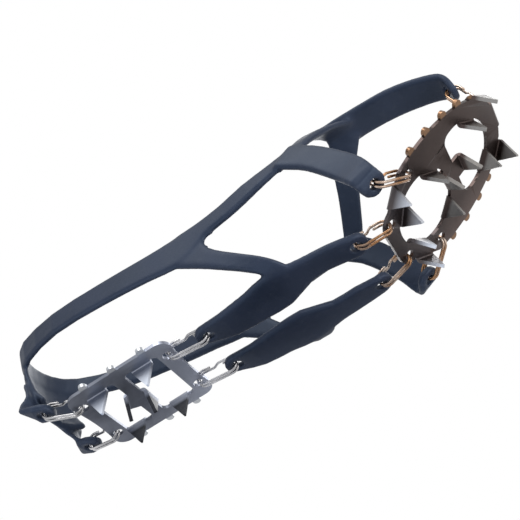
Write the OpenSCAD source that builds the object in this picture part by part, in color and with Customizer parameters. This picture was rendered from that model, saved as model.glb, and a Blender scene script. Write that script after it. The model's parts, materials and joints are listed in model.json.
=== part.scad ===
// Slip-on ice cleat: a stretched rubber harness holds two toothed steel plates under a shoe,
// and double-turn wire links join the plates to eyelets in the rubber.
// Millimetres. +X points to the toe and +Z up. The origin is the middle of the heel plate's
// crossbar, on the upper face that the shoe's heel stands on. Left and right match, apart from
// the crossbars' teeth and the crossings of the links' turns.

/* [Sheet steel] */
// Thickness of both plates
sheet = 2; // [1.6:0.1:2.4]
// Inside radius of the bends
bend_r = 0.8; // [0.6:0.1:1.2]
// Distance by which a bend starts beyond the cut edge
bend_out = 0.3; // [0.2:0.05:0.5]
// Drop of a tooth's tip below its plate's lower face
tooth_drop = 12.3; // [10:0.1:14]
// Width of a tooth at its root
tooth_w = 12; // [10:0.5:13]
// Width of the flat left on a tooth's tip
tip_flat = 0.8; // [0.5:0.1:1.5]
// Width of the round-ended nubs on the plates' outer edges
nub_w = 4.5; // [3.5:0.5:5.5]
// Reach of a nub beyond the edge
nub_out = 3.5; // [2.5:0.5:4.5]
// Radius of the link holes in the plates
hole_r = 2.8; // [2.7:0.05:2.9]

/* [Heel plate] */
// Length of the heel plate from its rear to its front edge
heel_len = 64; // [60:1:70]
// Width of the heel plate
heel_w = 55; // [53:1:60]
// Radius of its corners
heel_corner = 7; // [5:0.5:9]
// Hollow of its rear and front edges
heel_hollow = 1.4; // [0.5:0.1:2]
// Distance of the link holes from the rear or front edge
heel_hole_in = 5.2; // [5:0.1:6]
// Half the distance across between a pair of link holes
heel_hole_half = 16; // [14:0.5:17]
// Width of the side rails
heel_rail = 7; // [6:0.5:8]
// Width of the front and rear rails
heel_end_rail = 10; // [9.5:0.5:11]
// Width of the crossbar between the two windows
heel_bar = 7; // [6:0.5:9]
// Turn of the crossbar's rear tooth from straight across
heel_tilt = 25; // [0:1:30]

/* [Front plate] */
// Forward distance of the front plate's widest hole pair
front_x = 181; // [176:1:186]
// Height of the front plate's upper face at that hole pair
front_z = 6; // [3:1:9]
// Upward pitch of the front plate, following the rise of the sole to the toe
front_pitch = 27; // [22:1:30]
// Half the width of the front plate
front_half = 35; // [34:0.5:38]
// Radius of its long side arcs
front_arc = 83; // [75:1:95]
// Distance from the hole pair to the straight front edge
front_nose = 64; // [62:0.5:68]
// Distance from the hole pair to the rear end
front_tail = 28.5; // [27.5:0.5:31]
// Half the width of the rear lobe
front_lobe = 20; // [19:0.5:22]
// Radius of the round rear window
rear_window_r = 20.5; // [19:0.5:21]
// Radius of the D-shaped front window
front_window_r = 22; // [20:0.5:23]
// Radius of its two corners at the crossbar
window_corner = 5; // [3:0.5:6]
// Width of the crossbar between the two windows
front_bar = 6.5; // [6:0.5:8]
// Reach of the crossbar's tab that carries its front tooth
bar_tab = 4; // [3:0.5:5]
// Half the distance across between the widest hole pair
waist_half = 27.2; // [26.5:0.1:29]
// Half the distance across between the rear hole pair
tail_half = 13.7; // [13.2:0.1:14]
// Distance of the rear hole pair behind the widest pair
tail_back = 22.3; // [22:0.1:22.6]
// Width of the lug that is folded up at the nose
lug_w = 17; // [15:0.5:20]
// Height of the lug above the plate
lug_h = 17; // [15:0.5:20]
// Height of the lug's link hole above the plate
lug_hole = 11; // [9:0.5:12]

/* [Wire links] */
// Thickness of the wire
wire_d = 1.8; // [1.5:0.1:1.9]
// Sideways step from one turn to the next
turn_step = 2.3; // [2.25:0.05:2.4]
// Radius of the end turns, to the middle of the wire
turn_r = 4.4; // [4.3:0.1:4.8]
// Forward pull of the wire from the middle of a hole, towards the other end of the link
wire_pull = 0.4; // [0.3:0.05:0.5]

/* [Harness] */
// Thickness of the rubber
rubber = 4; // [3.6:0.1:4.2]
// Radius of the eyelets in the rubber
eyelet_r = 3; // [2.9:0.05:3.3]
// Radius of the rounded strap ends round the eyelets
strap_end_r = 7.2; // [6.8:0.1:7.6]
// Width of the band round the back of the heel
band_w = 14; // [12:0.5:17]
// Width of the arms on the sides
arm_w = 11.5; // [10.5:0.5:13]
// Width of the straps under the arch
strap_w = 20; // [17:1:23]
// Width of the tongue over the toes
tongue_w = 22; // [20:1:24]
// Radius of the tongue's rounded end
tongue_end_r = 9.5; // [8.5:0.5:10]
// Width of the flap that hangs down behind the heel
flap_w = 46; // [42:1:50]

/* [Shoe form] */
// Distance of the heel's back behind the origin
heel_back = 61; // [59:1:64]
// Half the width of the shoe at the heel
heel_half = 36; // [34:0.5:39]
// Height of the band at the back of the heel
band_z = 53; // [50:1:58]
// Forward distance of the side junction, where the band forks
fork_x = 69; // [64:1:74]
// Height of the side junction
fork_z = 38; // [36:1:41]
// Forward distance of the upper junction, beside the instep
peak_x = 135; // [131:1:139]
// Height of the upper junction
peak_z = 49; // [46:1:52]
// Half the width of the shoe at the upper junction
peak_half = 42; // [40:0.5:45]
// Height of the bridge over the instep
bridge_z = 88; // [86:1:93]
// Height of the straps under the arch
strap_z = -6.5; // [-8:0.5:-5]

/* [Hidden] */
$fn = 48;
wire_sides = 8;
turn_parts = 8;
mid = sheet / 2;

// Heel plate
heel_rear = -heel_len / 2 + 2;
heel_front = heel_rear + heel_len;
heel_hole_rear = heel_rear + heel_hole_in;
heel_hole_front = heel_front - heel_hole_in;
rail_in = heel_w / 2 - heel_rail;
rear_window = [heel_rear + heel_end_rail, -heel_bar / 2];
front_window = [heel_bar / 2, heel_front - heel_end_rail];

// Front plate
nose_window_x = rear_window_r + front_bar;
nose_window_c = nose_window_x + 6;
arc_y = front_arc - front_half;
arc_x = 13;
corner_tooth = [front_nose - 7.5, 20];
corner_turn = 44;
outer_tooth = [-13.7, 25.4];
outer_turn = 130;
corner_run = [-sin(corner_turn), cos(corner_turn)];
outer_run = [sin(outer_turn), -cos(outer_turn)];
// Straight edges of the front plate from nose to tail, left side
side_edge = [[front_nose, lug_w / 2 + 1], corner_tooth - 8.3 * corner_run, corner_tooth + 20 * corner_run,
             outer_tooth + 25 * outer_run, outer_tooth - 12 * outer_run];

// Eyelet middles in the rubber, right side of the shoe (negative y)
arch_eye = [heel_hole_front + 25, -heel_hole_half, strap_z + 2.5];
tail_eye = [front_x - 40, -18, strap_z - 2];
waist_eye = [front_x - 17, -43, -3];
heel_eye = [heel_hole_rear - 21.5, -21, 6];

function unit(v) = v / norm(v);
function flip(p) = [p.x, -p.y, p.z];
// A point or a direction of the front plate's own frame in the part's frame
function tilt(v) = [v.x * cos(front_pitch) - v.z * sin(front_pitch), v.y,
                    v.x * sin(front_pitch) + v.z * cos(front_pitch)];
function on_front(p) = [front_x, 0, front_z] + tilt(p);
front_up = tilt([0, 0, 1]);
nose_out = tilt([1, 0, 0]);
lug_face = front_nose + bend_out + bend_r + mid;
lug_eye = on_front([lug_face, 0, lug_hole]);
toe_eye = lug_eye + tilt([7.5, 0, 23.2]);
waist_hole = on_front([0, -waist_half, -mid]);
tail_hole = on_front([-tail_back, -tail_half, -mid]);
arch_hole = [heel_hole_front, -heel_hole_half, -mid];
heel_hole = [heel_hole_rear, -heel_hole_half, -mid];

// Direction across a link's loop, square to the link, nearest to the axis of the plate's hole
function rise(eye, hole, up) =
  let (along = unit(hole - eye)) unit(up - along * (along * up));

// Shapes in the sheet
module round_box(x0, x1, half, r) {
  translate([x0 + r, -half]) square([x1 - x0 - 2 * r, 2 * half]);
  translate([x0, r - half]) square([x1 - x0, 2 * half - 2 * r]);
  for (x = [x0 + r, x1 - r])
    for (y = [r - half, half - r])
      translate([x, y]) circle(r);
}

module nub() {
  translate([-2, -nub_w / 2]) square([nub_out + 2 - nub_w / 2, nub_w]);
  translate([nub_out - nub_w / 2, 0]) circle(nub_w / 2);
}

// Quarter bend of the sheet, seen from its end: it leaves the plate at x = 0 and turns down
module bend_profile() {
  translate([-3, -sheet]) square([3, sheet]);
  intersection() {
    translate([0, -sheet - bend_r]) difference() {
      circle(bend_r + sheet);
      circle(bend_r);
    }
    translate([0, -sheet - bend_r]) square(bend_r + 2 * sheet);
  }
}

module bend(width) {
  translate([bend_out, 0, 0]) rotate([90, 0, 0]) translate([0, 0, -width / 2]) linear_extrude(width) bend_profile();
}

// Triangular tooth, folded down from an edge that faces +x
module tooth(width = tooth_w) {
  bend(width);
  translate([bend_out + bend_r, 0, -sheet - bend_r]) rotate([90, 0, 90]) linear_extrude(sheet)
    polygon([[-width / 2, 0.01], [width / 2, 0.01],
             [tip_flat / 2, bend_r - tooth_drop], [-tip_flat / 2, bend_r - tooth_drop]]);
}

module at_edge(x, y, turn) {
  translate([x, y, 0]) rotate(turn) children();
}

// Tooth on a round window's rim: its root is the chord that fits the tooth
module rim_tooth(cx, r, turn) {
  chord = sqrt(r * r - tooth_w * tooth_w / 4);
  translate([cx, 0, 0]) rotate(turn) translate([chord, 0, 0]) rotate(180) tooth();
}

module heel_outline() {
  difference() {
    union() {
      round_box(heel_rear, heel_front, heel_w / 2, heel_corner);
      for (side = [-1, 1])
        for (k = [-1:1])
          translate([2 + k * 18, side * heel_w / 2]) rotate(side * 90) nub();
    }
    for (end = [-1, 1])
      translate([2 + end * (heel_len / 2 + 150 - heel_hollow), 0]) circle(150, $fn = 180);
    round_box(rear_window[0], rear_window[1], rail_in, 3);
    round_box(front_window[0], front_window[1], rail_in, 3);
  }
  intersection() {
    translate([-heel_bar / 2, 0.5]) rotate(heel_tilt) translate([-2, -tooth_w / 2]) square([6, tooth_w]);
    translate([-15, -rail_in]) square([15, 2 * rail_in]);
  }
}

module heel_plate() {
  color([0.52, 0.54, 0.57]) difference() {
    union() {
      translate([0, 0, -sheet]) linear_extrude(sheet) heel_outline();
      for (side = [-1, 1])
        for (x = [rear_window[0] + tooth_w / 2, front_window[0] + 11])
          at_edge(x, side * rail_in, -side * 90) tooth();
      translate([-heel_bar / 2, 0.5, 0]) rotate(heel_tilt) translate([-2, 0, 0]) rotate(180) tooth();
      at_edge(heel_bar / 2, 3, 0) tooth();
    }
    for (side = [-1, 1])
      for (x = [heel_hole_rear, heel_hole_front])
        translate([x, side * heel_hole_half, -sheet - 1]) cylinder(h = sheet + 2, r = hole_r);
  }
}

module front_outline() {
  difference() {
    union() {
      intersection() {
        translate([arc_x, arc_y]) circle(front_arc, $fn = 180);
        translate([arc_x, -arc_y]) circle(front_arc, $fn = 180);
        polygon(concat(side_edge, [for (k = [len(side_edge) - 1:-1:0]) [side_edge[k].x, -side_edge[k].y]]));
      }
      round_box(-front_tail, 0, front_lobe, 10);
      for (side = [-1, 1])
        for (x = [7.5, 20.5, 33.5, 44.5])
          translate([arc_x, -side * arc_y]) rotate(side * acos((x - arc_x) / front_arc))
            translate([front_arc, 0]) nub();
    }
    circle(rear_window_r, $fn = 96);
    nose_window();
  }
  translate([nose_window_x - 1, 1.5 - tooth_w / 2]) square([bar_tab + 1, tooth_w]);
}

// D-shaped window: a disc cut off by the crossbar, with two round corners that touch the disc's rim
module nose_window() {
  corner_x = nose_window_x + window_corner;
  back = nose_window_c - corner_x;
  corner_r = front_window_r - window_corner;
  corner_y = sqrt(corner_r * corner_r - back * back);
  cut_x = nose_window_c - back * front_window_r / corner_r;
  intersection() {
    translate([nose_window_c, 0]) circle(front_window_r, $fn = 96);
    translate([cut_x, -front_window_r]) square(2 * front_window_r);
  }
  translate([nose_window_x, -corner_y]) square([window_corner + 1, 2 * corner_y]);
  for (side = [-1, 1]) translate([corner_x, side * corner_y]) circle(window_corner);
}

module front_plate() {
  color([0.45, 0.43, 0.42]) translate([front_x, 0, front_z]) rotate([0, -front_pitch, 0]) difference() {
    union() {
      translate([0, 0, -sheet]) linear_extrude(sheet) front_outline();
      for (side = [-1, 1]) {
        at_edge(corner_tooth.x, side * corner_tooth.y, side * corner_turn) tooth();
        at_edge(outer_tooth.x, side * outer_tooth.y, side * outer_turn) tooth();
        rim_tooth(0, rear_window_r, side * 52);
        rim_tooth(0, rear_window_r, side * 142);
        rim_tooth(nose_window_c, front_window_r, side * 51);
      }
      rim_tooth(0, rear_window_r, -1.5);
      at_edge(nose_window_x + bar_tab, 1.5, 0) tooth();
      lug();
    }
    for (side = [-1, 1]) {
      translate([0, side * waist_half, -sheet - 1]) cylinder(h = sheet + 2, r = hole_r);
      translate([-tail_back, side * tail_half, -sheet - 1]) cylinder(h = sheet + 2, r = hole_r);
    }
    translate([front_nose, 0, lug_hole]) rotate([0, 90, 0]) cylinder(h = 6, r = hole_r);
  }
}

// Lug at the nose, folded up, with the toe link's hole
module lug() {
  at_edge(front_nose, 0, 0) {
    translate([0, 0, -sheet]) mirror([0, 0, 1]) bend(lug_w);
    translate([bend_out + bend_r, 0, 0]) rotate([90, 0, 90]) linear_extrude(sheet) {
      translate([-lug_w / 2, bend_r - 0.01]) square([lug_w, lug_h - 6 - bend_r]);
      translate([6 - lug_w / 2, bend_r]) square([lug_w - 12, lug_h - bend_r]);
      for (s = [-1, 1]) translate([s * (lug_w / 2 - 6), lug_h - 6]) circle(6);
    }
  }
}

// Wire link: one wire wound twice round an oblong loop, through an eyelet and a plate's hole.
// Its frame has x from the eyelet to the hole, y across the two turns and z across the loop.
function half_turn(x, y, start) =
  [for (k = [0:turn_parts]) let (a = start + 180 * k / turn_parts) [x + turn_r * cos(a), y, turn_r * sin(a)]];

// The wire's middle line: a stub, two full turns that cross over on the upper leg, and a stub
function wire_line(x0, x1) =
  let (side = turn_step / 2, run = x1 - x0)
  concat([[x0 + 0.25 * run, -side, turn_r]], half_turn(x0, -side, 90), half_turn(x1, -side, 270),
         [for (k = [0:4]) let (t = k / 4) [x1 - (0.35 + 0.3 * t) * run, -side * cos(180 * t), turn_r]],
         half_turn(x0, side, 90), half_turn(x1, side, 270), [[x1 - 0.25 * run, side, turn_r]]);

// Closed tube of wire_sides round a line of points, with a section square to the line at each point
module tube(line, r) {
  n = len(line);
  runs = [for (i = [0:n - 1]) unit(line[min(i + 1, n - 1)] - line[max(i - 1, 0)])];
  points = [for (i = [0:n - 1])
    let (flat = unit(cross(runs[i], [0, 1, 0])), up = cross(flat, runs[i]))
    for (k = [0:wire_sides - 1])
      let (a = 360 * (k + 0.5) / wire_sides) line[i] + r * (flat * cos(a) + up * sin(a))];
  walls = [for (i = [0:n - 2]) for (k = [0:wire_sides - 1])
    let (a = i * wire_sides + k, b = i * wire_sides + (k + 1) % wire_sides)
    each [[a, b + wire_sides, b], [a, a + wire_sides, b + wire_sides]]];
  first = [for (k = [0:wire_sides - 1]) k];
  last = [for (k = [wire_sides - 1:-1:0]) (n - 1) * wire_sides + k];
  polyhedron(points = points, faces = concat(walls, [first, last]));
}

function least_gap(line) = min([for (i = [0:len(line) - 1]) for (j = [i + 1:1:len(line) - 1])
  if (reach(line, i, j) > 3 * wire_d) norm(line[i] - line[j])]) - wire_d;
function reach(line, i, j) = j <= i ? 0 : norm(line[j] - line[j - 1]) + reach(line, i, j - 1);

module link(eye, hole, up) {
  along = unit(hole - eye);
  z_axis = rise(eye, hole, up);
  y_axis = cross(z_axis, along);
  line = wire_line(wire_pull + turn_r, norm(hole - eye) - wire_pull - turn_r);
  echo(link_gap = least_gap(line));
  color([0.78, 0.77, 0.74]) multmatrix([[along.x, y_axis.x, z_axis.x, eye.x],
                                        [along.y, y_axis.y, z_axis.y, eye.y],
                                        [along.z, y_axis.z, z_axis.z, eye.z],
                                        [0, 0, 0, 1]])
    tube(line, wire_d / 2);
}

// Rubber straps. A station is [x, y, z, outward direction x, y, z, width, curve across, share of the
// rubber's thickness]. Where straps join, the one that ends is the thinner, so that it ends inside.
function station(p, n, w, thick = 1, curve = 0) = [p.x, p.y, p.z, n.x, n.y, n.z, w, curve, thick];
function flip_station(s) = [s[0], -s[1], s[2], s[3], -s[4], s[5], s[6], s[7], s[8]];
// Stations of a rounded strap end, from the eyelet's middle outwards along dir
function round_end(eye, dir, out, r) =
  [for (a = [0, 30, 60, 78]) station(eye + r * sin(a) * dir, out, 2 * r * cos(a))];
function turned_round(path) = [for (k = [len(path) - 1:-1:0]) path[k]];
function flip_path(path) = [for (s = path) flip_station(s)];
function place(s) = [s[0], s[1], s[2]];
function facing(s) = [s[3], s[4], s[5]];
function blend(a, b, c, d, t) =
  b + (c - a) * t / 2 + (2 * a - 5 * b + 4 * c - d) * t * t / 2 + (3 * b - a - 3 * c + d) * t * t * t / 2;
function smooth(path, n) = concat(
  [for (i = [0:len(path) - 2]) for (j = [0:n - 1])
    blend(path[max(i - 1, 0)], path[i], path[i + 1], path[min(i + 2, len(path) - 1)], j / n)],
  [path[len(path) - 1]]);

// One point of a strap's section: across is the share of the width, lift the share of the thickness
function strap_point(path, i, across, lift) =
  let (s = path[i],
       run = unit(place(path[min(i + 1, len(path) - 1)]) - place(path[max(i - 1, 0)])),
       side = unit(cross(facing(s), run)),
       out = cross(run, side),
       a = across * s[6],
       turn = a * s[7] * 180 / PI,
       shift = s[7] == 0 ? a : sin(turn) / s[7],
       fall = s[7] == 0 ? 0 : (1 - cos(turn)) / s[7])
  place(s) + side * shift - out * fall + (out * cos(turn) + side * sin(turn)) * lift * s[8] * rubber;

module strap(raw, across, n = 2) {
  path = smooth(raw, n);
  m = len(across);
  ring = 2 * m;
  rows = len(path);
  edge = [for (k = [0:m - 1]) k == 0 || k == m - 1 ? 0.25 : 0.5];
  points = [for (i = [0:rows - 1]) each concat(
    [for (k = [0:m - 1]) strap_point(path, i, across[k], edge[k])],
    [for (k = [m - 1:-1:0]) strap_point(path, i, across[k], -edge[k])])];
  walls = [for (i = [0:rows - 2]) for (k = [0:ring - 1])
    let (a = i * ring + k, b = i * ring + (k + 1) % ring)
    each [[a, b, b + ring], [a, b + ring, a + ring]]];
  last = (rows - 1) * ring;
  caps = [for (k = [0:m - 2]) each [
    [k, ring - 1 - k, ring - 2 - k], [k, ring - 2 - k, k + 1],
    [last + k, last + ring - 2 - k, last + ring - 1 - k], [last + k, last + k + 1, last + ring - 2 - k]]];
  polyhedron(points = points, faces = concat(walls, caps));
}

flat_across = [-0.5, -0.42, 0, 0.42, 0.5];
flap_across = [-0.5, -0.46, -0.3, -0.1, 0.1, 0.3, 0.46, 0.5];

side_y = -heel_half - 0.5;
out_side = [0, -1, 0.06];
arch_rise = rise(arch_eye, arch_hole, [0, 0, 1]);
heel_rise = rise(heel_eye, heel_hole, [0, 0, 1]);
tail_rise = rise(tail_eye, tail_hole, front_up);
waist_rise = rise(waist_eye, waist_hole, front_up);
toe_rise = rise(toe_eye, lug_eye, nose_out);
end_w = 2 * strap_end_r;
tongue_end = toe_eye - (tongue_end_r - strap_end_r) * unit(lug_eye - toe_eye);

// From the upper junction over the side junction and round the heel, right half
band_half = [
  station([peak_x + 2, -peak_half, peak_z - 1], [0.05, -1, 0.2], arm_w - 1.5, 0.7),
  station([peak_x - 11, 0.4 - peak_half, peak_z - 2.6], [0.05, -1, 0.2], arm_w - 1.5, 0.9),
  station([peak_x - 27, 1.7 - peak_half, peak_z - 4.3], [0, -1, 0.12], arm_w),
  station([fork_x + 24, side_y - 2, fork_z + 4.9], [0, -1, 0.09], arm_w),
  station([fork_x + 7.5, side_y - 0.6, fork_z + 4], [0, -1, 0.08], arm_w + 1),
  station([fork_x - 2, side_y - 0.4, fork_z + 1.8], out_side, arm_w + 6.5),
  station([fork_x - 11, side_y - 0.4, fork_z - 0.4], out_side, band_w + 7),
  station([fork_x - 29, side_y - 0.5, fork_z + 1.5], out_side, band_w + 3.5),
  station([fork_x - 59, side_y, fork_z + 5], [-0.05, -1, 0.06], band_w + 1.5),
  station([-22, side_y + 3, band_z - 6], [-0.25, -1, 0.04], band_w),
  station([13 - heel_back, side_y + 12.5, band_z - 2], [-0.75, -0.8, 0], band_w),
  station([3 - heel_back, -13, band_z], [-1, -0.42, 0], band_w)];
band_path = concat(band_half, [station([-heel_back, 0, band_z + 1], [-1, 0, 0], band_w)],
                   [for (k = [len(band_half) - 1:-1:0]) flip_station(band_half[k])]);

flap_path = [
  station([0.3 - heel_back, 0, band_z + 2.2], [-1, 0, 0], flap_w, 0.4, 1 / 30),
  station([0.4 - heel_back, 0, band_z - 8], [-1, 0, 0], flap_w - 1, 0.6, 1 / 30),
  station([0.7 - heel_back, 0, band_z - 16], [-1, 0, -0.05], flap_w - 2, 0.95, 1 / 30),
  station([4 - heel_back, 0, band_z - 30], [-1, 0, -0.25], flap_w - 2, 1, 1 / 30),
  station([9.5 - heel_back, 0, band_z - 39.5], [-1, 0, -0.55], flap_w - 3, 1, 1 / 30)];

ear_path = concat([
  station([3.4 - heel_back, -13, band_z - 24], [-0.95, -0.35, -0.1], 20, 0.6),
  station([8.6 - heel_back, -17, band_z - 36.5], [-0.85, -0.3, -0.5], 18, 0.75),
  station(heel_eye - 7 * unit(heel_hole - heel_eye), -heel_rise, end_w, 0.85)],
  round_end(heel_eye, unit(heel_hole - heel_eye), -heel_rise, strap_end_r));

front_path = concat([
  station([peak_x - 2, 0.1 - peak_half, peak_z + 1], [0.1, -1, 0.25], arm_w + 7),
  station([peak_x + 8.5, -peak_half - 1.3, peak_z - 10.5], [0.05, -1, 0.1], arm_w + 5),
  station([peak_x + 15.5, -peak_half - 2.8, peak_z - 22], [0.03, -1, 0], arm_w + 4.5),
  station([peak_x + 23, -peak_half - 4.3, peak_z - 37], [0, -1, -0.15], arm_w + 4.5),
  station([waist_eye.x - 3.5, waist_eye.y - 5, waist_eye.z + 7], [0.1, -0.9, -0.4], end_w + 1),
  station([waist_eye.x - 1.5, waist_eye.y - 5, waist_eye.z + 0.5], [0.35, -0.55, -0.75], end_w, 0.85)],
  round_end(waist_eye, unit(waist_hole - waist_eye), -waist_rise, strap_end_r));

lower_path = [
  station([fork_x - 9, side_y - 0.4, fork_z - 4], out_side, arm_w + 4, 0.75),
  station([fork_x - 1, side_y - 0.5, fork_z - 11], out_side, arm_w + 3, 0.85),
  station([fork_x + 7, side_y - 1, fork_z - 20], [0, -1, 0.02], arm_w - 0.5),
  station([fork_x + 16, side_y - 1, fork_z - 29], [0, -1, -0.1], arm_w - 1.8),
  station([fork_x + 24, side_y - 0.2, strap_z + 8], [0, -0.95, -0.3], arm_w - 2.2),
  station([fork_x + 29.5, side_y + 1.5, strap_z + 3], [0, -0.75, -0.65], arm_w - 2.4),
  station([fork_x + 33, side_y + 6, strap_z + 0.1], [0, -0.2, -1], arm_w - 0.5, 0.85),
  station([fork_x + 34, -19, strap_z], [0, 0, -1], arm_w + 8, 0.7)];

// Webs that round the inner corners of the side junction and of the upper junction
fork_web = [for (a = [70:25:225])
  station([fork_x + 10.3, side_y - 0.6, fork_z - 6.3] + 7.8 * [cos(a), 0, sin(a)], [0, -1, 0.05], 7.5, 0.7)];
peak_web = [for (a = [38:20:118])
  station([peak_x - 10.5, 0.4 - peak_half, peak_z - 10.8] + 8.5 * [cos(a), 0, sin(a)], [0.05, -1, 0.18], 7, 0.7)];

arch_path = concat(turned_round(round_end(arch_eye, unit(arch_hole - arch_eye), -arch_rise, strap_end_r)), [
  station([fork_x - 3, -16.5, strap_z], [0, 0, -1], strap_w),
  station([fork_x + 13, -17, strap_z], [0, 0, -1], strap_w + 4),
  station([fork_x + 28, -18.5, strap_z], [0, 0, -1], strap_w + 8),
  station([tail_eye.x - 26, -20.5, strap_z], [0, 0, -1], strap_w - 3),
  station([tail_eye.x - 12, -19.5, strap_z - 0.6], [0.06, 0, -1], strap_w - 4)],
  round_end(tail_eye, unit(tail_hole - tail_eye), -tail_rise, strap_end_r));

vamp_path = [
  station([peak_x + 2.5, -peak_half - 0.3, peak_z - 6], [0.08, -1, 0.2], arm_w + 1.5, 0.65),
  station([peak_x + 6, 0.9 - peak_half, peak_z + 1.5], [0.08, -0.92, 0.4], arm_w, 0.75),
  station([peak_x + 9.5, 4.4 - peak_half, peak_z + 7], [0.12, -0.72, 0.7], arm_w + 0.5),
  station([peak_x + 17.5, -27, bridge_z - 19], [0.18, -0.7, 0.72], arm_w + 1.5),
  station([peak_x + 27, -11.5, bridge_z - 5], [0.15, -0.38, 0.92], arm_w + 4.5, 0.9),
  station([peak_x + 35, 0, bridge_z], [0.1, 0, 1], arm_w + 8.5, 0.7)];

tongue_path = concat([
  station([peak_x + 23, 0, bridge_z], [0.05, 0, 1], tongue_w + 2),
  station([peak_x + 45, 0, bridge_z + 0.5], [0.08, 0, 1], tongue_w),
  station([toe_eye.x - 29.5, 0, toe_eye.z + 16.5], [0.28, 0, 0.96], tongue_w),
  station([toe_eye.x - 12.5, 0, toe_eye.z + 11], [0.55, 0, 0.84], tongue_w - 1),
  station([toe_eye.x - 3.2, 0, toe_eye.z + 6], [0.93, 0, 0.37], 2 * tongue_end_r + 1)],
  round_end(tongue_end, unit(lug_eye - toe_eye), toe_rise, tongue_end_r));

module eyelet_disc(eye, axis, r, h) {
  turn = acos(axis.z);
  translate(eye) rotate([0, turn, atan2(axis.y, axis.x)]) rotate(20) cylinder(h = h, r = r, center = true);
}

module harness() {
  color([0.09, 0.1, 0.14]) difference() {
    resize([0, 0, 0]) union() {
      strap(band_path, flat_across);
      strap(flap_path, flap_across, 3);
      strap(tongue_path, flat_across, 3);
      for (path = [ear_path, front_path, lower_path, arch_path, vamp_path, fork_web, peak_web]) {
        strap(path, flat_across);
        strap(flip_path(path), flat_across);
      }
    }
    eyelet_disc(toe_eye, toe_rise, eyelet_r, 1.6 * rubber);
    for (pair = [[heel_eye, heel_rise], [arch_eye, arch_rise], [tail_eye, tail_rise], [waist_eye, waist_rise]]) {
      eyelet_disc(pair[0], pair[1], eyelet_r, 1.6 * rubber);
      eyelet_disc(flip(pair[0]), flip(pair[1]), eyelet_r, 1.6 * rubber);
    }
  }
}

harness();
heel_plate();
front_plate();
link(toe_eye, lug_eye, nose_out);  // toe_link
link(waist_eye, waist_hole, front_up);  // waist_link_right
link(flip(waist_eye), flip(waist_hole), front_up);  // waist_link_left
link(tail_eye, tail_hole, front_up);  // tail_link_right
link(flip(tail_eye), flip(tail_hole), front_up);  // tail_link_left
link(arch_eye, arch_hole, [0, 0, 1]);  // arch_link_right
link(flip(arch_eye), flip(arch_hole), [0, 0, 1]);  // arch_link_left
link(heel_eye, heel_hole, [0, 0, 1]);  // heel_link_right
link(flip(heel_eye), flip(heel_hole), [0, 0, 1]);  // heel_link_left
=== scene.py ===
# Looks of a slip-on ice cleat: rubber harness, two toothed steel plates and nine wire links.
# Metres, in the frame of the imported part: +X to the toe, +Z up to the foot.
import json
import math

import bmesh
import bpy
from mathutils import Matrix, Vector


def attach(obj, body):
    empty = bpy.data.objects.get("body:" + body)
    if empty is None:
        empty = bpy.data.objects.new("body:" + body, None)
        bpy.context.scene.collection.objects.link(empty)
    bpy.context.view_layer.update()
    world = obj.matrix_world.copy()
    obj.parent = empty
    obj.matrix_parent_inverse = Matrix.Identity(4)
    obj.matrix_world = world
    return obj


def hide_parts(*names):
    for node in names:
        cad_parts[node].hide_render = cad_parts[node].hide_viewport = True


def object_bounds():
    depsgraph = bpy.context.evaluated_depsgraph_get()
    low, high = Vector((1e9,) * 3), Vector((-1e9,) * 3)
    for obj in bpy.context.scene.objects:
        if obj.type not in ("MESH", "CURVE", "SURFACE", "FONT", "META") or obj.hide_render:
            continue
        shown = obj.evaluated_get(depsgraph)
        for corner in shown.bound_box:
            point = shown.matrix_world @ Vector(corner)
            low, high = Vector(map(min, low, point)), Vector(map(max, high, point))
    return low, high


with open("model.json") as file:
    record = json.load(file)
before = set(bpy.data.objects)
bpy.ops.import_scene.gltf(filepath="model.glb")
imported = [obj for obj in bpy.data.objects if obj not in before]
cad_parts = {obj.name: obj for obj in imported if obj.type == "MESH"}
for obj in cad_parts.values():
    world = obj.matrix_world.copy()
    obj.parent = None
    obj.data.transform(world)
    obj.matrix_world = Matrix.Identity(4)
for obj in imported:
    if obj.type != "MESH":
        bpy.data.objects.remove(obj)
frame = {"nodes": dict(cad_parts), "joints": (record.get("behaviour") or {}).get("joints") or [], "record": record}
cad_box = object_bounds()

X_AXIS = Vector((1, 0, 0))
Y_AXIS = Vector((0, 1, 0))
Z_AXIS = Vector((0, 0, 1))

# Sizes that the part's source also states
WIRE_D = 0.0018
TURN_STEP = 0.0023
TURN_R = 0.0044
SHEET = 0.002
TOOTH_DROP = 0.0123
HEEL_HALF = 0.0275
HEEL_NUBS_X = 0.002
FRONT_HOLES = Vector((0.181, 0, 0.006))
FRONT_PITCH = math.radians(27)
FRONT_HALF = 0.035
FRONT_ARC = 0.083
FRONT_ARC_AHEAD = 0.013

# Sizes of the finish
SKIN_VOXEL = 0.0007
SKIN_ROUNDS = 3
JUNCTION_ROUNDS = 30
SMOOTH_SHARE = 0.5
EDGE_BREAK = 0.00022
EDGE_FROM = math.radians(35)
SHARP_FROM = math.radians(20)
FLAT_WITHIN = math.radians(1)
SAME_POINT = 1e-6
WIRE_SHOWN = 0.00145
WIRE_SIDES = 16
TURN_PARTS = 18
CROSSING_PARTS = 10

# Where the plates' tints begin and end
NUB_BLEND = 0.0008          # outwards from a plate's side, to the full tint of a nub
NUB_NOT_WITHIN = 0.012      # of the middle line, where the front plate has its lug and not a nub
NUB_LOWEST = 0.0012         # below the sheet, where the tint of nubs ends
NUB_FULL = 0.0004           # below the sheet, where it is still full
TOOTH_ROOT = 0.2            # share of a tooth's drop where it begins to differ from the sheet
STRAIGHT_ARC = 10           # radius that stands for a straight side

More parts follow.
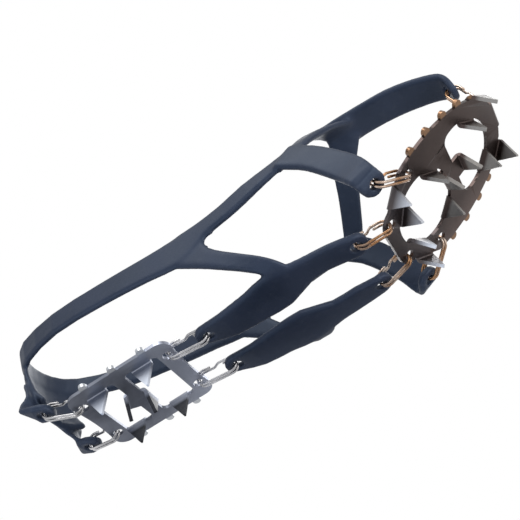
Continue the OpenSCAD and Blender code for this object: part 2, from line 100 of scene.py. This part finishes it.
# Where straps join on either side: the place, how far the moulding is blended, and the way it faces
# (none where rims are blended too)
JUNCTIONS = (
    (Vector((0.069, 0.0365, 0.036)), 0.030, Y_AXIS),
    (Vector((0.137, 0.0420, 0.048)), 0.030, Y_AXIS),
    (Vector((0.100, 0.0280, -0.0065)), 0.024, Z_AXIS),
    (Vector((0.166, 0.0040, 0.087)), 0.032, Z_AXIS),
    (Vector((-0.060, 0.0080, 0.045)), 0.030, X_AXIS),
    (Vector((-0.055, 0.0150, 0.022)), 0.022, X_AXIS),
    (Vector((-0.0535, 0.0205, 0.024)), 0.0155, None),
)
FACING_FROM = 0.45          # a face's share of that way where blending begins
FACING_SPAN = 0.3           # and how much more of it gives full blending

# The photograph's camera, fitted to the plates' corners and teeth
CAMERA_AT = Vector((0.1494, -0.3290, -0.2875))
CAMERA_LOOK = Vector((-0.124, 0.707, 0.696))
CAMERA_UP = Vector((0.533, -0.545, 0.648))
CAMERA_LENS = 58.0
CAMERA_SENSOR = 36
CAMERA_NEAR = 0.01

# Studio. Each lamp has a place from the part's middle, a size, a power in watts and a colour.
FLOOR_HALF = 4
FLOOR_GREY = 0.82
FLOOR_ROUGHNESS = 0.9
WORLD_LIGHT = 0.55          # where it only lights
WORLD_SEEN = 1.0            # where the camera or a reflection looks
PART_MIDDLE = Vector((0.09, 0, 0.04))
LAMP_UP = Vector((0.3, 0.2, 1))
LAMPS = {
    "key": (Vector((0.1, -0.8, 0.85)), 0.7, 9, (1.0, 0.98, 0.95)),
    "sole": (Vector((-0.5, -0.5, -0.7)), 0.6, 5, (0.86, 0.92, 1.0)),
    "toe": (Vector((0.7, -0.35, -0.35)), 0.5, 9, (1.0, 0.96, 0.92)),
    "back": (Vector((0.1, 0.8, 0.7)), 0.8, 6, (1.0, 1.0, 1.0)),
}


class Finish:
    """One material's node tree, with short calls for adding nodes and links."""

    def __init__(self, name):
        self.material = bpy.data.materials.new(name)
        self.material.use_nodes = True
        self.tree = self.material.node_tree
        self.shader = self.tree.nodes["Principled BSDF"]
        self.place = self.add("ShaderNodeTexCoord").outputs["Object"]

    def add(self, kind, **settings):
        node = self.tree.nodes.new(kind)
        for key, value in settings.items():
            setattr(node, key, value)
        return node

    def link(self, output, socket):
        self.tree.links.new(output, socket)

    def drive(self, **outputs):
        """Links outputs to the shader's inputs of those names."""
        for key, output in outputs.items():
            self.link(output, self.shader.inputs[key.replace("_", " ")])

    def set(self, **values):
        for key, value in values.items():
            self.shader.inputs[key.replace("_", " ")].default_value = value

    def noise(self, scale, detail=3.0, stretch=(1, 1, 1)):
        """Noise of that many grains a metre, drawn out by stretch."""
        spread = self.add("ShaderNodeMapping")
        spread.inputs["Scale"].default_value = stretch
        self.link(self.place, spread.inputs["Vector"])
        grain = self.add("ShaderNodeTexNoise")
        grain.inputs["Scale"].default_value = scale
        grain.inputs["Detail"].default_value = detail
        self.link(spread.outputs["Vector"], grain.inputs["Vector"])
        return grain.outputs["Fac"]

    def ramp(self, value, *stops):
        """Colour ramp through (position, colour) stops; a number stands for a grey."""
        node = self.add("ShaderNodeValToRGB")
        self.link(value, node.inputs["Fac"])
        ramp = node.color_ramp
        while len(ramp.elements) < len(stops):
            ramp.elements.new(0.5)
        for element, (position, colour) in zip(ramp.elements, stops):
            element.position = position
            grey = isinstance(colour, (int, float))
            element.color = (colour, colour, colour, 1) if grey else (*colour, 1)
        return node.outputs["Color"]

    def mix(self, share, low, high):
        node = self.add("ShaderNodeMix", data_type="RGBA")
        self.link(share, node.inputs["Factor"])
        for source, socket in ((low, node.inputs["A"]), (high, node.inputs["B"])):
            if isinstance(source, tuple):
                socket.default_value = (*source, 1)
            else:
                self.link(source, socket)
        return node.outputs["Result"]

    def bump(self, strength, depth, *heights):
        """Bump from several heights, each laid over the one before."""
        last = None
        for height in heights:
            node = self.add("ShaderNodeBump")
            node.inputs["Strength"].default_value = strength
            node.inputs["Distance"].default_value = depth
            self.link(height, node.inputs["Height"])
            if last:
                self.link(last, node.inputs["Normal"])
            last = node.outputs["Normal"]
        self.drive(Normal=last)

    def reckon(self, operation, *terms):
        """One step of arithmetic on one or two terms, which are outputs or numbers."""
        node = self.add("ShaderNodeMath", operation=operation)
        for term, socket in zip(terms, node.inputs):
            if isinstance(term, (int, float)):
                socket.default_value = term
            else:
                self.link(term, socket)
        return node.outputs["Value"]

    def span(self, value, start, end):
        """0 where the value is at start and 1 where it is at end."""
        node = self.add("ShaderNodeMapRange")
        node.inputs["From Min"].default_value = start
        node.inputs["From Max"].default_value = end
        self.link(value, node.inputs["Value"])
        return node.outputs["Result"]

    def measure(self, direction):
        """The place along a direction of the part's frame."""
        dot = self.add("ShaderNodeVectorMath", operation="DOT_PRODUCT")
        dot.inputs[1].default_value = direction
        self.link(self.place, dot.inputs[0])
        return dot.outputs["Value"]

    def along(self, direction, start, end):
        """0 at start and 1 at end, measured along a direction of the part's frame."""
        return self.span(self.measure(direction), start, end)

    def beyond(self, direction, middle, half, arc):
        """0 on a plate and 1 on the nubs that stand out from its sides, which are arcs of that radius."""
        lengthwise = self.reckon("SUBTRACT", self.measure(direction), middle)
        side = self.reckon("ABSOLUTE", self.measure(Y_AXIS))
        joined = self.add("ShaderNodeCombineXYZ")
        self.link(lengthwise, joined.inputs["X"])
        self.link(self.reckon("ADD", side, arc - half), joined.inputs["Y"])
        reach = self.add("ShaderNodeVectorMath", operation="LENGTH")
        self.link(joined.outputs["Vector"], reach.inputs[0])
        outside = self.span(reach.outputs["Value"], arc, arc + NUB_BLEND)
        off_middle = self.reckon("GREATER_THAN", side, NUB_NOT_WITHIN)
        return self.reckon("MULTIPLY", outside, off_middle)

    def edges(self, low, high):
        """0 on flat faces and 1 on outer edges."""
        shape = self.add("ShaderNodeNewGeometry")
        return self.ramp(shape.outputs["Pointiness"], (low, 0.0), (high, 1.0))


def rubber():
    """Black rubber with a blue cast, a fine moulded grain, dusty patches and lighter edges that are a painted
    highlight.
    """
    f = Finish("rubber")
    f.set(Specular_IOR_Level=0.30, Specular_Tint=(0.55, 0.72, 1.0, 1.0))
    patches = f.noise(38, 4)
    body = f.ramp(patches, (0.3, (0.007, 0.011, 0.022)), (0.72, (0.014, 0.019, 0.035)))
    dust = f.ramp(f.noise(260, 5), (0.55, 0.0), (0.8, 0.35))
    body = f.mix(dust, body, (0.026, 0.031, 0.045))
    # Lighter colour on the outer edges: a painted highlight along the rims.
    body = f.mix(f.edges(0.52, 0.6), body, (0.045, 0.050, 0.068))
    f.drive(Base_Color=body, Roughness=f.ramp(patches, (0.25, 0.46), (0.75, 0.60)))
    f.bump(0.12, 0.0004, f.noise(1500, 2), f.noise(240, 2))
    return f.material


def steel(name, dull, bright, nub, tooth, up, lower_face, lit, sides, painted_light_span):
    """Rolled sheet steel: grain along X, cloudy stains, teeth bright on one side and in painted shade on
    the other, and tinted nubs.

    The sheet is between dull and bright: dark tones, partly the steel's own and partly a painted
    reflection of a dark surround. Its nubs and its teeth in painted shade have colours of their own.
    up is the way that its upper face looks, and lower_face its lower face's place along that.
    lit is a direction with a start and an end: at the start, teeth grow bright towards their tips, as
    wear and a painted highlight; at the end they take the tooth colour, a painted shade.
    painted_light_span is the like: the sheet grows lighter towards the end, a painted light.
    sides says where the nubs are, for Finish.beyond."""
    f = Finish(name)
    f.set(Anisotropic=0.25)
    stains = f.noise(42, 5)
    grain = f.noise(55, 4, (1, 22, 22))
    # The stain tones dull and bright are dark: partly the steel's own tone, partly a painted reflection of a dark
    # surround.
    face = f.ramp(stains, (0.3, dull), (0.75, bright))
    face = f.mix(f.ramp(grain, (0.35, 0.0), (0.8, 0.25)), face, bright)
    # A painted light: the sheet grows lighter towards one end.
    painted_light_tint = tuple(1.9 * c for c in bright)
    face = f.mix(f.ramp(f.along(*painted_light_span), (0.0, 0.0), (1.0, 0.6)), face, painted_light_tint)
    tooth_depth = f.along(up, lower_face - TOOTH_ROOT * TOOTH_DROP, lower_face - TOOTH_DROP)
    # Teeth on the lit side grow bright towards their tips: wear, and a painted highlight.
    wear_and_painted_highlight = f.mix(f.ramp(tooth_depth, (0.0, 0.05), (1.0, 0.85)), face, (0.66, 0.71, 0.80))
    # Teeth on the other side take the tooth colour towards their tips: a painted shade.
    painted_shade_teeth = f.mix(f.ramp(tooth_depth, (0.0, 0.0), (0.2, 0.92)), face, tooth)
    # The lit direction picks between them: one side's teeth in painted highlight, the other's in painted shade.
    face = f.mix(f.along(*lit), wear_and_painted_highlight, painted_shade_teeth)
    in_sheet = f.along(up, lower_face - NUB_LOWEST, lower_face - NUB_FULL)
    face = f.mix(f.mix(in_sheet, (0.0, 0.0, 0.0), f.beyond(*sides)), face, nub)
    rough = f.mix(f.ramp(grain, (0.3, 0.0), (0.75, 1.0)), (0.30,) * 3, (0.42,) * 3)
    f.drive(Base_Color=face, Metallic=f.ramp(tooth_depth, (0.0, 1.0), (0.4, 0.55)), Roughness=rough)
    f.bump(0.06, 0.0002, grain, f.noise(900, 2))
    return f.material


def bright_edge(name, tint):
    """The broken, polished edge of the sheet."""
    f = Finish(name)
    f.set(Metallic=1.0)
    marks = f.noise(700, 3)
    dark = tuple(0.72 * c for c in tint)
    f.drive(Base_Color=f.ramp(marks, (0.35, dark), (0.7, tint)),
            Roughness=f.ramp(marks, (0.3, 0.2), (0.8, 0.34)))
    f.bump(0.05, 0.0001, marks)
    return f.material


def wire():
    """Drawn steel wire, silver at the heel and copper-coloured at the front, with dull patches."""
    f = Finish("wire")
    f.set(Metallic=1.0)
    patches = f.noise(70, 3)
    silver = f.ramp(patches, (0.35, (0.30, 0.30, 0.31)), (0.62, (0.60, 0.60, 0.62)))
    copper = f.ramp(patches, (0.40, (0.34, 0.19, 0.10)), (0.62, (0.55, 0.47, 0.41)))
    f.drive(Base_Color=f.mix(f.along(X_AXIS, 0.10, 0.15), silver, copper),
            Roughness=f.ramp(patches, (0.3, 0.30), (0.7, 0.2)))
    f.bump(0.05, 0.0001, f.noise(1200, 2))
    return f.material


def add_mesh(name, mesh, material):
    piece = bpy.data.objects.new(name, mesh)
    bpy.context.scene.collection.objects.link(piece)
    mesh.materials.clear()
    mesh.materials.append(material)
    return piece


def copy_of(node, name, material):
    """A new piece with a copy of a CAD node's mesh, its split corners joined and flat faces merged."""
    piece = add_mesh(name, frame["nodes"][node].data.copy(), material)
    bm = bmesh.new()
    bm.from_mesh(piece.data)
    bmesh.ops.remove_doubles(bm, verts=bm.verts, dist=SAME_POINT)
    bmesh.ops.dissolve_limit(bm, angle_limit=FLAT_WITHIN, verts=bm.verts, edges=bm.edges)
    bm.to_mesh(piece.data)
    bm.free()
    return piece


def bake(piece):
    """Applies a piece's modifiers."""
    graph = bpy.context.evaluated_depsgraph_get()
    baked = bpy.data.meshes.new_from_object(piece.evaluated_get(graph))
    piece.modifiers.clear()
    piece.data = baked


def stand_for(piece, node):
    """The piece takes a CAD node's place on its body."""
    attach(piece, piece_body[node])
    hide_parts(node)


def mark_junctions(piece):
    """Vertex group of the faces near the junctions, without the straps' rims."""
    group = piece.vertex_groups.new(name="junctions")
    for vertex in piece.data.vertices:
        at = Vector((vertex.co.x, abs(vertex.co.y), vertex.co.z))
        weight = 0
        for place, reach, facing in JUNCTIONS:
            near = 2 * (1 - (at - place).length / reach)
            flat = (abs(vertex.normal.dot(facing)) - FACING_FROM) / FACING_SPAN if facing else 1
            weight = max(weight, min(near, flat, 1))
        if weight > 0:
            group.add([vertex.index], weight, "REPLACE")
    return group


def smooth(piece, name, rounds):
    """Adds rounds of smoothing to a piece."""
    modifier = piece.modifiers.new(name, "SMOOTH")
    modifier.factor = SMOOTH_SHARE
    modifier.iterations = rounds
    return modifier


def make_harness():
    """One moulding: the CAD straps melted together, with soft edges and blended junctions."""
    piece = copy_of("harness", "harness_skin", rubber())
    skin = piece.modifiers.new("skin", "REMESH")
    skin.mode = "VOXEL"
    skin.voxel_size = SKIN_VOXEL
    smooth(piece, "soft", SKIN_ROUNDS)
    bake(piece)
    group = mark_junctions(piece)
    smooth(piece, "blend", JUNCTION_ROUNDS).vertex_group = group.name
    bake(piece)
    piece.vertex_groups.clear()
    piece.data.shade_smooth()
    stand_for(piece, "harness")


def make_plate(node, face, edge):
    """A plate with its sharp edges broken, so that they catch the light."""
    piece = copy_of(node, node + "_finished", face)
    piece.data.materials.append(edge)
    rim = piece.modifiers.new("rim", "BEVEL")
    rim.width = EDGE_BREAK
    rim.segments = 2
    rim.limit_method = "ANGLE"
    rim.angle_limit = EDGE_FROM
    rim.material = 1
    rim.use_clamp_overlap = True
    bake(piece)
    piece.data.shade_smooth()
    piece.data.set_sharp_from_angle(angle=SHARP_FROM)
    stand_for(piece, node)


def half_turn(x, y, start):
    """Half a turn of the wire's middle line, in the link's own frame."""
    turns = [math.radians(start + 180 * k / TURN_PARTS) for k in range(TURN_PARTS + 1)]
    return [Vector((x + TURN_R * math.cos(a), y, TURN_R * math.sin(a))) for a in turns]


def wire_line(x0, x1):
    """Two full turns round an oblong loop, crossing over on the upper leg, with a stub at each end."""
    side = TURN_STEP / 2
    run = x1 - x0
    steps = [k / CROSSING_PARTS for k in range(CROSSING_PARTS + 1)]
    crossing = [Vector((x1 - (0.35 + 0.3 * t) * run, -side * math.cos(math.pi * t), TURN_R))
                for t in steps]
    start = [Vector((x0 + 0.25 * run, -side, TURN_R))]
    end = [Vector((x1 - 0.25 * run, side, TURN_R))]
    first = half_turn(x0, -side, 90) + half_turn(x1, -side, 270)
    second = half_turn(x0, side, 90) + half_turn(x1, side, 270)
    return start + first + crossing + second + end


def wire_tube(line, to_frame):
    """Round wire along a line, with domed ends."""
    bm = bmesh.new()
    rings = []
    last = len(line) - 1
    radius = WIRE_SHOWN / 2
    # Each section is a point of the line, a step ahead of it and a width, in shares of the radius
    sections = [(0, -0.7, 0.45), (0, -0.35, 0.85)]
    sections += [(i, 0, 1) for i in range(last + 1)]
    sections += [(last, 0.35, 0.85), (last, 0.7, 0.45)]
    angles = [2 * math.pi * k / WIRE_SIDES for k in range(WIRE_SIDES)]
    for i, ahead, share in sections:
        run = (line[min(i + 1, last)] - line[max(i - 1, 0)]).normalized()
        flat = run.cross(Y_AXIS).normalized()
        up = flat.cross(run)
        middle = line[i] + run * ahead * radius
        spokes = [flat * math.cos(a) + up * math.sin(a) for a in angles]
        rings.append([bm.verts.new(to_frame @ (middle + radius * share * s)) for s in spokes])
    for low, high in zip(rings, rings[1:]):
        for k in range(WIRE_SIDES):
            n = (k + 1) % WIRE_SIDES
            bm.faces.new((low[k], low[n], high[n], high[k]))
    bm.faces.new(rings[0])
    bm.faces.new(reversed(rings[-1]))
    bmesh.ops.recalc_face_normals(bm, faces=bm.faces)
    mesh = bpy.data.meshes.new("wire_tube")
    bm.to_mesh(mesh)
    bm.free()
    mesh.shade_smooth()
    return mesh


def make_link(joint, material):
    """A link's wire, laid where its CAD node is: the joint gives its eyelet and the way across it."""
    node = joint["child"]
    eye = Vector(joint["pos_m"])
    across = Vector(joint["axis"]).normalized()
    points = [v.co - eye for v in frame["nodes"][node].data.vertices]
    middle = sum(points, Vector()) / len(points)
    along = (middle - across * middle.dot(across)).normalized()
    rise = along.cross(across)
    # The middle leans to the leg that carries the crossing, so the loop's own middle sets the line
    heights = [p.dot(rise) for p in points]
    along = (along + rise * (max(heights) + min(heights)) / (2 * middle.dot(along))).normalized()
    rise = along.cross(across)
    reach = [p.dot(along) for p in points]
    inset = WIRE_D / 2 + TURN_R
    to_frame = Matrix((along, across, rise)).transposed().to_4x4()
    to_frame.translation = eye
    line = wire_line(min(reach) + inset, max(reach) - inset)
    piece = add_mesh(node + "_wire", wire_tube(line, to_frame), material)
    stand_for(piece, node)


def greatest(tree, outputs):
    """The greatest of a node tree's outputs."""
    most = outputs[0]
    for output in outputs[1:]:
        node = tree.nodes.new("ShaderNodeMath")
        node.operation = "MAXIMUM"
        tree.links.new(most, node.inputs[0])
        tree.links.new(output, node.inputs[1])
        most = node.outputs["Value"]
    return most


def make_floor():
    """Pale floor under the teeth.

    It is see-through from below, because the photograph looks up at the sole, and lets the light of
    the two lamps below it pass."""
    mesh = bpy.data.meshes.new("floor")
    level = cad_box[0][2]
    corners = ((-1, -1), (1, -1), (1, 1), (-1, 1))
    mesh.from_pydata([(x * FLOOR_HALF, y * FLOOR_HALF, level) for x, y in corners], [], [(0, 1, 2, 3)])
    f = Finish("floor")
    f.set(Base_Color=(FLOOR_GREY, FLOOR_GREY, FLOOR_GREY, 1), Roughness=FLOOR_ROUGHNESS)
    side = f.add("ShaderNodeNewGeometry").outputs["Backfacing"]
    shadow = f.add("ShaderNodeLightPath").outputs["Is Shadow Ray"]
    clear = f.add("ShaderNodeBsdfTransparent")
    mix = f.add("ShaderNodeMixShader")
    f.link(greatest(f.tree, (side, shadow)), mix.inputs["Fac"])
    f.link(f.shader.outputs["BSDF"], mix.inputs[1])
    f.link(clear.outputs["BSDF"], mix.inputs[2])
    f.link(mix.outputs["Shader"], f.tree.nodes["Material Output"].inputs["Surface"])
    add_mesh("floor", mesh, f.material)


def make_world():
    """White where the camera or a reflection looks, and softer where it only lights."""
    world = bpy.data.worlds.new("studio")
    bpy.context.scene.world = world
    world.use_nodes = True
    tree = world.node_tree
    path = tree.nodes.new("ShaderNodeLightPath")
    rays = ("Is Camera Ray", "Is Glossy Ray", "Is Transmission Ray")
    strength = tree.nodes.new("ShaderNodeMapRange")
    strength.inputs["To Min"].default_value = WORLD_LIGHT
    strength.inputs["To Max"].default_value = WORLD_SEEN
    tree.links.new(greatest(tree, [path.outputs[ray] for ray in rays]), strength.inputs["Value"])
    background = tree.nodes["Background"]
    background.inputs["Color"].default_value = (1, 1, 1, 1)
    tree.links.new(strength.outputs["Result"], background.inputs["Strength"])


def look_along(direction, up):
    """Rotation of a camera or lamp that looks along a direction."""
    back = -direction.normalized()
    right = up.cross(back).normalized()
    return Matrix((right, back.cross(right), back)).transposed().to_4x4()


def make_lamps():
    """Soft key from above the near side, two fills from below the sole and one from above the far side."""
    for name, (offset, size, power, colour) in LAMPS.items():
        data = bpy.data.lights.new(name, "AREA")
        data.size = size
        data.energy = power
        data.color = colour
        lamp = bpy.data.objects.new(name, data)
        bpy.context.scene.collection.objects.link(lamp)
        lamp.matrix_world = Matrix.Translation(PART_MIDDLE + offset) @ look_along(-offset, LAMP_UP)


def make_camera():
    data = bpy.data.cameras.new("photo")
    data.lens = CAMERA_LENS
    data.sensor_width = CAMERA_SENSOR
    data.clip_start = CAMERA_NEAR
    camera = bpy.data.objects.new("photo", data)
    bpy.context.scene.collection.objects.link(camera)
    camera.matrix_world = Matrix.Translation(CAMERA_AT) @ look_along(CAMERA_LOOK, CAMERA_UP)
    bpy.context.scene.camera = camera


piece_body = {}
for body, nodes in frame["record"]["behaviour"]["bodies"].items():
    for node in nodes:
        piece_body[node] = body

make_harness()

# Heel: teeth on the +Y side darken to near black towards their tips, a painted shade; the sheet grows lighter
# towards the toe, a painted light.
heel_steel = steel(
    "steel_heel", dull=(0.082, 0.092, 0.120), bright=(0.20, 0.215, 0.26), nub=(0.45, 0.47, 0.50),
    tooth=(0.008, 0.009, 0.012), up=Z_AXIS, lower_face=-SHEET, lit=(Y_AXIS, -0.0185, -0.012),
    sides=(X_AXIS, HEEL_NUBS_X, HEEL_HALF, STRAIGHT_ARC), painted_light_span=(X_AXIS, 0.004, 0.032))
make_plate("heel_plate", heel_steel, bright_edge("edge_heel", (0.78, 0.80, 0.84)))

front_up = Vector((-math.sin(FRONT_PITCH), 0, math.cos(FRONT_PITCH)))
front_along = Vector((math.cos(FRONT_PITCH), 0, math.sin(FRONT_PITCH)))
front_arc_at = FRONT_HOLES.dot(front_along) + FRONT_ARC_AHEAD
# Front: teeth towards the toe take a grey painted shade; the sheet grows lighter towards its +Y side, a painted
# light.
front_steel = steel(
    "steel_front", dull=(0.042, 0.032, 0.031), bright=(0.068, 0.051, 0.047), nub=(0.22, 0.13, 0.078),
    tooth=(0.17, 0.165, 0.16), up=front_up, lower_face=FRONT_HOLES.dot(front_up) - SHEET,
    lit=(X_AXIS, 0.172, 0.186), sides=(front_along, front_arc_at, FRONT_HALF, FRONT_ARC),
    painted_light_span=(Y_AXIS, 0.020, 0.034))
make_plate("front_plate", front_steel, bright_edge("edge_front", (0.80, 0.76, 0.72)))

wire_material = wire()
for joint in frame["joints"]:
    if "_link" in joint["child"]:
        make_link(joint, wire_material)

make_floor()
make_world()
make_lamps()
make_camera()
bpy.context.scene.view_settings.view_transform = "Standard"
